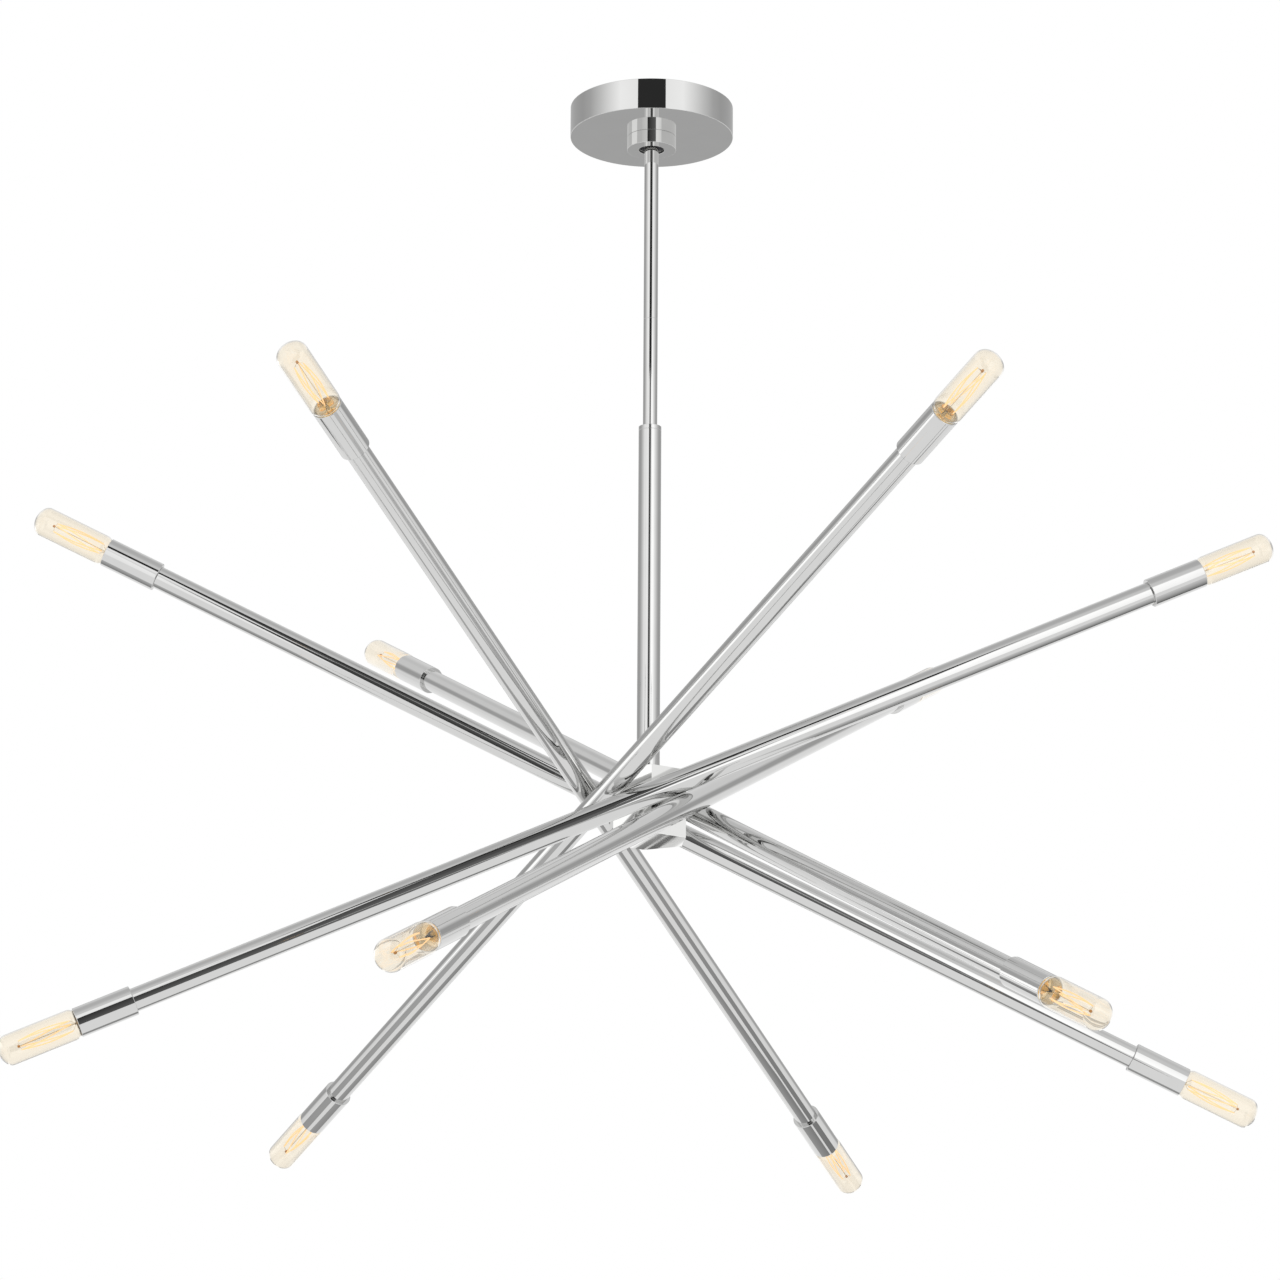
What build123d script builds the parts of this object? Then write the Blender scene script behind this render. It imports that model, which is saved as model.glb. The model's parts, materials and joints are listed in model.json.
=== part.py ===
from build123d import *
import os
from math import asin, cos, degrees, radians, sin, sqrt

os.makedirs("parts", exist_ok=True)

# Driving dimensions, in millimetres and degrees.
# The ceiling is the plane z = 0, the light hangs below it on the Z axis,
# and every height is worked downwards from the ceiling.

# Ceiling bracket and its fixings
bracket_width = 22.0
bracket_gauge = 2.0
bracket_step = 4.0            # the middle is stepped down to clear the upper locknut
bracket_middle = 46.0
bracket_ramp = 5.0
bracket_corner_radius = 5.5
slot_spacing = 88.9
slot_length = 14.0
slot_width = 5.0
slot_end_margin = 5.55        # bracket beyond each slot
ground_hole_dia = 3.4
ground_hole_place = 17.0
ground_head_dia = 7.0
ground_head_height = 2.4
ground_head_edge = 0.8
ground_shank_length = 6.5
nipple_dia = 13.0
nipple_bore = 9.0
nipple_top_gap = 0.5
locknut_flats = 19.0
locknut_height = 3.0

# Canopy and the collar under it
canopy_dia = 139.0
canopy_height = 26.7
canopy_wall = 1.2
canopy_edge = 0.8
collar_dia = 41.7
collar_height = 11.3
collar_lip = 2.0
collar_hole_dia = 21.7
collar_edge = 0.4

# Swivel inside the collar
housing_dia = 34.0
housing_wall = 2.6
housing_roof = 6.5
thrust_gauge = 0.8
thrust_setback = 0.3          # edge of the collar's hole to the washer on its lip
swivel_height = 11.0          # ball centre above the collar's lower face
ball_dia = 20.0
ball_wire_hole = 7.0
washer_wall = 1.15
washer_hole_angle = 53.0      # these angles are measured at the ball centre, from straight down
washer_rim_angle = 92.0
seat_hole_angle = 59.0
seat_rim_angle = 85.0
seat_clearance = 0.05         # running clearance of the two spherical seats
ring_clearance = 0.15         # rings inside the housing

# Stem and the wider tube below it
stem_dia = 12.0
stem_wall = 1.2
stem_joint_drop = 190.5       # ceiling to the joint between the two stems
coupling_length = 24.0
coupling_bore = 6.0
tube_dia = 19.05
tube_wall = 1.2
sleeve_drop = 285.8           # ceiling to the top of the cap ring
cap_ring_height = 3.6
cap_plug_depth = 16.0
cap_stem_depth = 12.0
sleeve_length = 295.4
foot_height = 18.0
foot_thread_depth = 14.8

# Hub
hub_corner_radius = 34.5
hub_height = 57.2
lid_height = 3.5
lid_spigot = 2.0
lid_clearance = 0.3
hub_floor = 4.0
hub_edge = 0.3
cavity_apothem = 23.5
boss_dia = 18.0
boss_height = 24.0
boss_thread_depth = 14.0
hub_nipple_dia = 10.0
hub_nipple_bore = 6.4
hub_wire_hole = 5.0
hub_locknut_flats = 16.0
hub_locknut_height = 3.5
arm_drop = 26.2               # top of the hub to the height where the tubes cross it

# Six straight tubes, each passing one corner of the hub
arm_count = 6
arm_offset = 45.5             # vertical axis to tube axis
arm_half_length = 452.3       # middle of the tube to its end
arm_turn = 4.75               # heading of the first tube
arm_tilt = 24.66
arm_set_turns = (1.0, -0.5, 0.5, 0.2, -1.6, 0.0)      # each tube as it was hung
arm_set_tilts = (-1.0, -1.5, 1.0, 0.8, 1.4, 0.4)
stud_dia = 8.0
stud_bore = 4.8
stud_tail = 5.0
stud_clearance = 0.1
stud_nut_flats = 13.0
stud_nut_height = 4.0
spacer_dia = 11.0
spot_face_radius = 31.3
spot_face_clearance = 0.2
saddle_clearance = 0.05
insert_length = 24.0
insert_wire_bore = 7.0
insert_hole_floor = 1.75      # axis of the tube to the end of the insert's threaded hole

# Lamp holder at each tube end
cup_dia = 24.2
cup_length = 47.8
cup_wall = 1.0
cup_base = 1.5
cup_edge = 0.8
end_plug_length = 12.0
end_plug_neck = 9.0
end_plug_neck_dia = 10.0
end_plug_bore = 6.5
socket_dia = 20.8
socket_length = 33.2
socket_neck_depth = 7.5
shell_wall = 0.5
shell_length = 15.0
shell_inset = 1.0
contact_dia = 6.0
contact_height = 2.0
contact_well = 4.0

# Lamp
lamp_glass_dia = 25.4
lamp_glass_wall = 0.7
lamp_reach = 66.0             # from the mouth of the cup to the tip of the glass
lamp_shoulder_radius = 7.7
lamp_shoulder_lift = 5.3      # centre of the shoulder arc above the mouth
lamp_corner_radius = 7.5      # the blunt tip: a round corner that runs into a flat dome
lamp_dome_radius = 16.0
lamp_neck_dia = 10.8
lamp_neck_depth = 15.1        # mouth down to the open end of the glass
lamp_base_dia = 11.9
lamp_base_wall = 0.5
lamp_base_length = 17.5
lamp_tip_length = 3.5
lamp_tip_dia = 4.0
lamp_tip_root_dia = 9.0
lamp_plate_gauge = 2.5
stem_press_dia = 5.0
stem_press_height = 16.0
stem_rod_dia = 1.2
stem_rod_reach = 51.0         # mouth of the cup to the end of the centre rod
base_clearance = 0.05         # base in the socket shell, and the pieces inside the base

cut_margin = 1.0              # holes are cut this far past the faces they open in

# Lengths and heights that follow from them
bracket_length = slot_spacing + slot_length + 2 * slot_end_margin
canopy_base = -canopy_height
collar_base = canopy_base - collar_height
ball_height = collar_base + swivel_height
thrust_base = collar_base + collar_lip
seat_base = thrust_base + thrust_gauge
bracket_middle_base = -bracket_gauge - bracket_step
housing_top = bracket_middle_base - locknut_height
sleeve_top = -sleeve_drop - cap_ring_height
hub_top = sleeve_top - sleeve_length
lid_base = hub_top - lid_height
hub_base = hub_top - hub_height
arm_height = hub_top - arm_drop

# Radii that follow from them
tube_bore_dia = tube_dia - 2 * tube_wall
stem_bore_dia = stem_dia - 2 * stem_wall
housing_bore = housing_dia - 2 * housing_wall
ring_dia = housing_bore - 2 * ring_clearance
washer_inner = ball_dia / 2 + seat_clearance
washer_outer = washer_inner + washer_wall
seat_radius = washer_outer + seat_clearance
shell_bore = lamp_base_dia + 2 * base_clearance
shell_dia = shell_bore + 2 * shell_wall


def ring_part(outer_dia, inner_dia, low, high):
    """A plain tube on the Z axis between two heights."""
    with BuildPart() as ring:
        with BuildSketch(Plane.XY.offset(low)):
            Circle(outer_dia / 2)
            Circle(inner_dia / 2, mode=Mode.SUBTRACT)
        extrude(amount=high - low)
    return ring.part


def hex_nut(flats, bore, low, height):
    """A hexagonal nut on the Z axis, standing on the height low."""
    with BuildPart() as nut:
        with BuildSketch(Plane.XY.offset(low)):
            RegularPolygon(flats / 2, 6, major_radius=False)
            Circle(bore / 2, mode=Mode.SUBTRACT)
        extrude(amount=height)
    return nut.part


def save(part, name):
    part.label = name
    export_step(part, f"parts/{name}.step")


# Ceiling bracket: a strip whose middle is stepped down, with two slots
middle_half = bracket_middle / 2
ramp_end = middle_half + bracket_ramp
with BuildPart() as mounting_bracket:
    with BuildSketch(Plane.XZ):
        with BuildLine():
            Polyline(
                (-bracket_length / 2, 0),
                (-ramp_end, 0),
                (-middle_half, -bracket_step),
                (middle_half, -bracket_step),
                (ramp_end, 0),
                (bracket_length / 2, 0),
                (bracket_length / 2, -bracket_gauge),
                (ramp_end, -bracket_gauge),
                (middle_half, bracket_middle_base),
                (-middle_half, bracket_middle_base),
                (-ramp_end, -bracket_gauge),
                (-bracket_length / 2, -bracket_gauge),
                close=True,
            )
        make_face()
    extrude(amount=bracket_width / 2, both=True)
    fillet(
        mounting_bracket.edges().filter_by(Axis.Z).group_by(Axis.X)[0]
        + mounting_bracket.edges().filter_by(Axis.Z).group_by(Axis.X)[-1],
        radius=bracket_corner_radius,
    )
    with BuildSketch(Plane.XY):
        with GridLocations(slot_spacing, 0, 2, 1):
            SlotOverall(slot_length, slot_width)
        Circle(nipple_dia / 2)
        with Locations((-ground_hole_place, 0)):
            Circle(ground_hole_dia / 2)
    extrude(amount=bracket_middle_base, mode=Mode.SUBTRACT)
mounting_bracket.part.label = "mounting_bracket"
export_step(mounting_bracket.part, "parts/mounting_bracket.step")

# Ground screw, driven up through the stepped middle of the bracket
with BuildPart() as ground_screw:
    with BuildSketch(Plane.XY.offset(bracket_middle_base)):
        with Locations((-ground_hole_place, 0)):
            Circle(ground_head_dia / 2)
    extrude(amount=-ground_head_height)
    fillet(ground_screw.edges().group_by(Axis.Z)[0], radius=ground_head_edge)
    with BuildSketch(Plane.XY.offset(bracket_middle_base)):
        with Locations((-ground_hole_place, 0)):
            Circle(ground_hole_dia / 2)
    extrude(amount=ground_shank_length - ground_head_height)
ground_screw.part.label = "ground_screw"
export_step(ground_screw.part, "parts/ground_screw.step")

# Hollow threaded nipple with a locknut on each side of the bracket
nipple_base = housing_top - housing_roof
save(ring_part(nipple_dia, nipple_bore, nipple_base, -nipple_top_gap), "canopy_nipple")

with BuildPart() as nipple_locknuts:
    add(hex_nut(locknut_flats, nipple_dia, -bracket_step, locknut_height))
    add(hex_nut(locknut_flats, nipple_dia, housing_top, locknut_height))
nipple_locknuts.part.label = "nipple_locknuts"
export_step(nipple_locknuts.part, "parts/nipple_locknuts.step")

# Canopy: a shallow spun cup whose open rim meets the ceiling
with BuildPart() as canopy:
    with BuildSketch(Plane.XY.offset(canopy_base)):
        Circle(canopy_dia / 2)
    extrude(amount=canopy_height)
    fillet(canopy.edges().group_by(Axis.Z)[0], radius=canopy_edge)
    with BuildSketch(Plane.XY):
        Circle(canopy_dia / 2 - canopy_wall)
    extrude(amount=canopy_wall - canopy_height, mode=Mode.SUBTRACT)
    with BuildSketch(Plane.XY.offset(canopy_base)):
        Circle(housing_dia / 2)
    extrude(amount=canopy_wall, mode=Mode.SUBTRACT)
canopy.part.label = "canopy"
export_step(canopy.part, "parts/canopy.step")

# Collar: screwed on the housing, it holds the canopy up and carries the swivel on its lip
with BuildPart() as canopy_collar:
    with BuildSketch(Plane.XY.offset(collar_base)):
        Circle(collar_dia / 2)
        Circle(collar_hole_dia / 2, mode=Mode.SUBTRACT)
    extrude(amount=collar_height)
    fillet(canopy_collar.edges().group_by(Axis.Z)[0].sort_by(SortBy.RADIUS)[-1], radius=collar_edge)
    with BuildSketch(Plane.XY.offset(thrust_base)):
        Circle(housing_dia / 2)
    extrude(amount=collar_height - collar_lip, mode=Mode.SUBTRACT)
canopy_collar.part.label = "canopy_collar"
export_step(canopy_collar.part, "parts/canopy_collar.step")

# Swivel housing: a cup hung mouth down from the nipple
with BuildPart() as swivel_housing:
    with BuildSketch(Plane.XY.offset(thrust_base)):
        Circle(housing_dia / 2)
    extrude(amount=housing_top - thrust_base)
    with BuildSketch(Plane.XY.offset(thrust_base)):
        Circle(housing_bore / 2)
    extrude(amount=housing_top - housing_roof - thrust_base, mode=Mode.SUBTRACT)
    with BuildSketch(Plane.XY.offset(housing_top)):
        Circle(nipple_dia / 2)
    extrude(amount=-housing_roof, mode=Mode.SUBTRACT)
swivel_housing.part.label = "swivel_housing"
export_step(swivel_housing.part, "parts/swivel_housing.step")

# Thrust washer on the collar's lip
thrust_bore = collar_hole_dia + 2 * thrust_setback
save(ring_part(ring_dia, thrust_bore, thrust_base, seat_base), "swivel_thrust_washer")


def ball_point(radius, angle):
    """A point in the XZ plane on a sphere about the ball centre, angle from straight down."""
    return (radius * sin(radians(angle)), ball_height - radius * cos(radians(angle)))


# Seat ring: turns on the thrust washer and carries the spherical washer
with BuildPart() as swivel_seat_ring:
    with BuildSketch(Plane.XZ):
        with BuildLine():
            CenterArc(
                (0, ball_height), seat_radius, seat_rim_angle - 90, seat_hole_angle - seat_rim_angle
            )
            rim = ball_point(seat_radius, seat_rim_angle)
            Polyline(
                ball_point(seat_radius, seat_hole_angle),
                (collar_hole_dia / 2, seat_base),
                (ring_dia / 2, seat_base),
                (ring_dia / 2, rim[1]),
                rim,
            )
        make_face()
    revolve(axis=Axis.Z)
swivel_seat_ring.part.label = "swivel_seat_ring"
export_step(swivel_seat_ring.part, "parts/swivel_seat_ring.step")

# Spherical washer between the seat ring and the ball
washer_span = washer_hole_angle - washer_rim_angle
with BuildPart() as swivel_washer:
    with BuildSketch(Plane.XZ):
        with BuildLine():
            CenterArc((0, ball_height), washer_outer, washer_rim_angle - 90, washer_span)
            Line(
                ball_point(washer_outer, washer_hole_angle),
                ball_point(washer_inner, washer_hole_angle),
            )
            CenterArc((0, ball_height), washer_inner, washer_hole_angle - 90, -washer_span)
            Line(
                ball_point(washer_inner, washer_rim_angle),
                ball_point(washer_outer, washer_rim_angle),
            )
        make_face()
    revolve(axis=Axis.Z)
swivel_washer.part.label = "swivel_washer"
export_step(swivel_washer.part, "parts/swivel_washer.step")

# Ball at the top of the stem, bored from below for the stem and through for the wires
stem_top = ball_height - stem_wall
with BuildPart(Plane.XY.offset(ball_height)) as swivel_ball:
    Sphere(ball_dia / 2)
    Cylinder(ball_wire_hole / 2, ball_dia, mode=Mode.SUBTRACT)
    with BuildSketch(Plane.XY.offset(stem_top)):
        Circle(stem_dia / 2)
    extrude(amount=-ball_dia, mode=Mode.SUBTRACT)
swivel_ball.part.label = "swivel_ball"
export_step(swivel_ball.part, "parts/swivel_ball.step")

# Two stems that meet on a hollow threaded coupling
stem_foot = -sleeve_drop - cap_stem_depth
coupling_top = coupling_length / 2 - stem_joint_drop
save(ring_part(stem_dia, stem_bore_dia, -stem_joint_drop, stem_top), "upper_stem")
save(ring_part(stem_dia, stem_bore_dia, stem_foot, -stem_joint_drop), "lower_stem")
save(
    ring_part(stem_bore_dia, coupling_bore, coupling_top - coupling_length, coupling_top),
    "stem_coupling",
)

# Cap: a ring on top of the wide tube with a plug inside it that takes the stem
with BuildPart() as sleeve_cap:
    with BuildSketch(Plane.XY.offset(sleeve_top)):
        Circle(tube_dia / 2)
    extrude(amount=cap_ring_height)
    with BuildSketch(Plane.XY.offset(sleeve_top)):
        Circle(tube_bore_dia / 2)
    extrude(amount=-cap_plug_depth)
    with BuildSketch(Plane.XY.offset(-sleeve_drop)):
        Circle(stem_dia / 2)
    extrude(amount=-cap_stem_depth, mode=Mode.SUBTRACT)
    with BuildSketch(Plane.XY.offset(-sleeve_drop)):
        Circle(stem_bore_dia / 2)
    extrude(amount=-cap_ring_height - cap_plug_depth, mode=Mode.SUBTRACT)
sleeve_cap.part.label = "sleeve_cap"
export_step(sleeve_cap.part, "parts/sleeve_cap.step")

save(ring_part(tube_dia, tube_bore_dia, hub_top, sleeve_top), "stem_sleeve")

# Foot: a plug in the bottom of the wide tube, threaded on the hub nipple
save(ring_part(tube_bore_dia, hub_nipple_dia, hub_top, hub_top + foot_height), "sleeve_foot")

# Hub nipple with a cross hole that lets the wires out inside the hub
boss_top = hub_base + hub_floor + boss_height
hub_nipple_low = boss_top - boss_thread_depth
hub_nipple_high = hub_top + foot_thread_depth
hub_locknut_base = lid_base - lid_spigot - hub_locknut_height
with BuildPart() as hub_nipple:
    with BuildSketch(Plane.XY.offset(hub_nipple_low)):
        Circle(hub_nipple_dia / 2)
        Circle(hub_nipple_bore / 2, mode=Mode.SUBTRACT)
    extrude(amount=hub_nipple_high - hub_nipple_low)
    with BuildSketch(Plane.XZ):
        with Locations((0, (hub_locknut_base + boss_top) / 2)):
            Circle(hub_wire_hole / 2)
    extrude(amount=hub_nipple_dia, both=True, mode=Mode.SUBTRACT)
hub_nipple.part.label = "hub_nipple"
export_step(hub_nipple.part, "parts/hub_nipple.step")

save(
    hex_nut(hub_locknut_flats, hub_nipple_dia, hub_locknut_base, hub_locknut_height),
    "hub_locknut",
)

# Headings and tilts of the six tubes
headings = [arm_turn + 360 / arm_count * n + arm_set_turns[n] for n in range(arm_count)]
tilts = [arm_tilt + arm_set_tilts[n] for n in range(arm_count)]


def outward(n):
    """Level unit vector from the hub's axis to the middle of a tube."""
    angle = radians(headings[n] - 90)
    return Vector(cos(angle), sin(angle), 0)


def tube_plane(n, end=1):
    """Plane at the middle of a tube: x points away from the hub, z along the tube."""
    heading, tilt = radians(headings[n]), radians(tilts[n])
    along = Vector(cos(heading) * cos(tilt), sin(heading) * cos(tilt), sin(tilt)) * end
    middle = outward(n) * arm_offset + Vector(0, 0, arm_height)
    return Plane(origin=middle, x_dir=outward(n), z_dir=along)


def stud_plane(n, reach):
    """Plane across a stud, at a given distance from the hub's axis."""
    return Plane(origin=outward(n) * reach + Vector(0, 0, arm_height), z_dir=outward(n))


def cavity_corners(apothem):
    """Corners of the six-sided cavity whose flats face the studs."""
    corners = []
    for n in range(arm_count):
        first = headings[n] - 90
        second = headings[(n + 1) % arm_count] - 90
        if second < first:
            second += 360
        middle, half = (first + second) / 2, (second - first) / 2
        radius = apothem / cos(radians(half))
        corners.append((radius * cos(radians(middle)), radius * sin(radians(middle))))
    return corners


# Hub lid: hexagonal plate with a spigot that drops into the body
with BuildPart() as hub_lid:
    with BuildSketch(Plane.XY.offset(lid_base)):
        RegularPolygon(hub_corner_radius, arm_count, rotation=arm_turn - 90)
    extrude(amount=lid_height)
    chamfer(hub_lid.edges().group_by(Axis.Z)[-1], length=hub_edge)
    with BuildSketch(Plane.XY.offset(lid_base)):
        Polygon(*cavity_corners(cavity_apothem - lid_clearance), align=None)
    extrude(amount=-lid_spigot)
    with BuildSketch(Plane.XY.offset(hub_top)):
        Circle(hub_nipple_dia / 2)
    extrude(amount=-lid_height - lid_spigot, mode=Mode.SUBTRACT)
hub_lid.part.label = "hub_lid"
export_step(hub_lid.part, "parts/hub_lid.step")

# Hub body: hexagonal cup with a threaded boss and a spot-faced stud hole at each corner
with BuildPart() as hub_body:
    with BuildSketch(Plane.XY.offset(hub_base)):
        RegularPolygon(hub_corner_radius, arm_count, rotation=arm_turn - 90)
    extrude(amount=lid_base - hub_base)
    chamfer(hub_body.edges().group_by(Axis.Z)[0], length=hub_edge)
    with BuildSketch(Plane.XY.offset(hub_base + hub_floor)):
        Polygon(*cavity_corners(cavity_apothem), align=None)
    extrude(amount=lid_base - hub_base - hub_floor, mode=Mode.SUBTRACT)
    with BuildSketch(Plane.XY.offset(hub_base + hub_floor)):
        Circle(boss_dia / 2)
    extrude(amount=boss_height)
    with BuildSketch(Plane.XY.offset(boss_top)):
        Circle(hub_nipple_dia / 2)
    extrude(amount=-boss_thread_depth, mode=Mode.SUBTRACT)
    for n in range(arm_count):
        with BuildSketch(stud_plane(n, spot_face_radius)):
            Circle(spacer_dia / 2 + spot_face_clearance)
        extrude(amount=hub_corner_radius - spot_face_radius + cut_margin, mode=Mode.SUBTRACT)
        with BuildSketch(stud_plane(n, cavity_apothem - cut_margin)):
            Circle(stud_dia / 2 + stud_clearance)
        extrude(amount=spot_face_radius - cavity_apothem + 2 * cut_margin, mode=Mode.SUBTRACT)
hub_body.part.label = "hub_body"
export_step(hub_body.part, "parts/hub_body.step")

# Hollow studs that hold the tubes, their nuts inside the hub and their saddle spacers
stud_start = cavity_apothem - stud_nut_height - stud_tail
stud_end = arm_offset - insert_wire_bore / 2
with BuildPart() as arm_studs:
    for n in range(arm_count):
        with BuildSketch(stud_plane(n, stud_start)):
            Circle(stud_dia / 2)
            Circle(stud_bore / 2, mode=Mode.SUBTRACT)
        extrude(amount=stud_end - stud_start)
arm_studs.part.label = "arm_studs"
export_step(arm_studs.part, "parts/arm_studs.step")

with BuildPart() as arm_stud_nuts:
    for n in range(arm_count):
        with BuildSketch(stud_plane(n, cavity_apothem)):
            RegularPolygon(stud_nut_flats / 2, 6, major_radius=False)
            Circle(stud_dia / 2, mode=Mode.SUBTRACT)
        extrude(amount=-stud_nut_height)
arm_stud_nuts.part.label = "arm_stud_nuts"
export_step(arm_stud_nuts.part, "parts/arm_stud_nuts.step")

saddle_reach = sqrt((tube_dia / 2) ** 2 - (spacer_dia / 2) ** 2)
with BuildPart() as arm_spacers:
    for n in range(arm_count):
        with BuildSketch(stud_plane(n, spot_face_radius)):
            Circle(spacer_dia / 2)
            Circle(stud_dia / 2 + stud_clearance, mode=Mode.SUBTRACT)
        extrude(amount=arm_offset - saddle_reach - spot_face_radius)
    for n in range(arm_count):
        with BuildSketch(tube_plane(n)):
            Circle(tube_dia / 2 + saddle_clearance)
        extrude(amount=2 * spacer_dia, both=True, mode=Mode.SUBTRACT)
arm_spacers.part.label = "arm_spacers"
export_step(arm_spacers.part, "parts/arm_spacers.step")

# Threaded insert in the middle of each tube, bored across for the stud
with BuildPart() as arm_inserts:
    for n in range(arm_count):
        with BuildSketch(tube_plane(n)):
            Circle(tube_bore_dia / 2)
            Circle(insert_wire_bore / 2, mode=Mode.SUBTRACT)
        extrude(amount=insert_length / 2, both=True)
    for n in range(arm_count):
        with BuildSketch(stud_plane(n, arm_offset - tube_dia / 2)):
            Circle(stud_dia / 2)
        extrude(amount=tube_dia / 2 - insert_hole_floor, mode=Mode.SUBTRACT)
arm_inserts.part.label = "arm_inserts"
export_step(arm_inserts.part, "parts/arm_inserts.step")

# The six tubes, each with one side hole for its stud
for n in range(arm_count):
    with BuildPart() as arm:
        with BuildSketch(tube_plane(n)):
            Circle(tube_dia / 2)
            Circle(tube_bore_dia / 2, mode=Mode.SUBTRACT)
        extrude(amount=arm_half_length, both=True)
        with BuildSketch(stud_plane(n, arm_offset - tube_dia)):
            Circle(stud_dia / 2 + stud_clearance)
        extrude(amount=tube_dia / 2 + tube_wall + 2 * cut_margin, mode=Mode.SUBTRACT)
    arm.part.label = f"arm_{n + 1}"
    export_step(arm.part, f"parts/arm_{n + 1}.step")

# Lamp holders: distances along a tube, from its middle
cup_start = arm_half_length
cup_mouth = cup_start + cup_length
socket_start = cup_start + cup_base
socket_mouth = socket_start + socket_length
shell_start = socket_mouth - shell_inset - shell_length
contact_start = shell_start - contact_well
contact_face = contact_start + contact_height
ends = [(n, end) for n in range(arm_count) for end in (1, -1)]
end_names = {1: "upper", -1: "lower"}


def end_plane(place, distance):
    """Plane across a tube, at a distance from its middle towards one end."""
    return tube_plane(*place).offset(distance)


def end_section(place):
    """Half-section plane of a tube end: x is the radius, y the distance along the tube."""
    base = tube_plane(*place)
    return Plane(origin=base.origin, x_dir=base.x_dir, z_dir=base.x_dir.cross(base.z_dir))


def end_axis(place):
    base = tube_plane(*place)
    return Axis(base.origin, base.z_dir)


def add_disc(place, distance, outer_dia, height, bore_dia=0, mode=Mode.ADD):
    """Add or cut a disc, or a ring when it has a bore, across a tube end."""
    with BuildSketch(end_plane(place, distance)) as disc:
        Circle(outer_dia / 2)
        if bore_dia:
            Circle(bore_dia / 2, mode=Mode.SUBTRACT)
    extrude(disc.sketch, amount=height, mode=mode)


with BuildPart() as tube_end_plugs:
    for place in ends:
        add_disc(place, cup_start - end_plug_length, tube_bore_dia, end_plug_length, end_plug_bore)
        add_disc(place, cup_start, end_plug_neck_dia, end_plug_neck, end_plug_bore)
tube_end_plugs.part.label = "tube_end_plugs"
export_step(tube_end_plugs.part, "parts/tube_end_plugs.step")

for place in ends:
    with BuildPart() as cup:
        add_disc(place, cup_start, cup_dia, cup_length)
        edge = cup.edges().filter_by(GeomType.CIRCLE).sort_by(end_axis(place))[0]
        fillet(edge, radius=cup_edge)
        add_disc(
            place, cup_start + cup_base, cup_dia - 2 * cup_wall, cup_length, mode=Mode.SUBTRACT
        )
        add_disc(place, cup_start, end_plug_neck_dia, cup_base, mode=Mode.SUBTRACT)
    name = f"cup_{place[0] + 1}_{end_names[place[1]]}"
    cup.part.label = name
    export_step(cup.part, f"parts/{name}.step")

with BuildPart() as socket_bodies:
    for place in ends:
        add_disc(place, socket_start, socket_dia, socket_length)
        add_disc(place, socket_start, end_plug_neck_dia, socket_neck_depth, mode=Mode.SUBTRACT)
        add_disc(place, contact_start, shell_dia, socket_length, mode=Mode.SUBTRACT)
socket_bodies.part.label = "socket_bodies"
export_step(socket_bodies.part, "parts/socket_bodies.step")

with BuildPart() as socket_shells:
    for place in ends:
        add_disc(place, shell_start, shell_dia, shell_length, shell_bore)
socket_shells.part.label = "socket_shells"
export_step(socket_shells.part, "parts/socket_shells.step")

with BuildPart() as socket_contacts:
    for place in ends:
        add_disc(place, contact_start, contact_dia, contact_height)
socket_contacts.part.label = "socket_contacts"
export_step(socket_contacts.part, "parts/socket_contacts.step")


def glass_face(inset):
    """Half section of the glass: neck, round shoulder, straight wall, round corner and dome."""
    wall = lamp_glass_dia / 2 - inset
    neck = lamp_neck_dia / 2 - inset
    turn = lamp_shoulder_radius - inset
    shoulder_x = lamp_glass_dia / 2 - lamp_shoulder_radius
    shoulder_y = cup_mouth + lamp_shoulder_lift
    slant = turn / sqrt(2)
    corner = lamp_corner_radius - inset
    dome = lamp_dome_radius - inset
    corner_x = lamp_glass_dia / 2 - lamp_corner_radius
    dome_y = cup_mouth + lamp_reach - lamp_dome_radius
    corner_y = dome_y + sqrt((lamp_dome_radius - lamp_corner_radius) ** 2 - corner_x**2)
    dome_angle = degrees(asin(corner_x / (lamp_dome_radius - lamp_corner_radius)))
    low = cup_mouth - lamp_neck_depth
    with BuildLine() as outline:
        Polyline(
            (0, dome_y + dome),
            (0, low),
            (neck, low),
            (neck, shoulder_y - slant - (shoulder_x + slant - neck)),
            (shoulder_x + slant, shoulder_y - slant),
        )
        CenterArc((shoulder_x, shoulder_y), turn, -45, 45)
        Line((wall, shoulder_y), (wall, corner_y))
        CenterArc((corner_x, corner_y), corner, 0, 90 - dome_angle)
        CenterArc((0, dome_y), dome, 90 - dome_angle, dome_angle)
    make_face(outline.edges())


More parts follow.
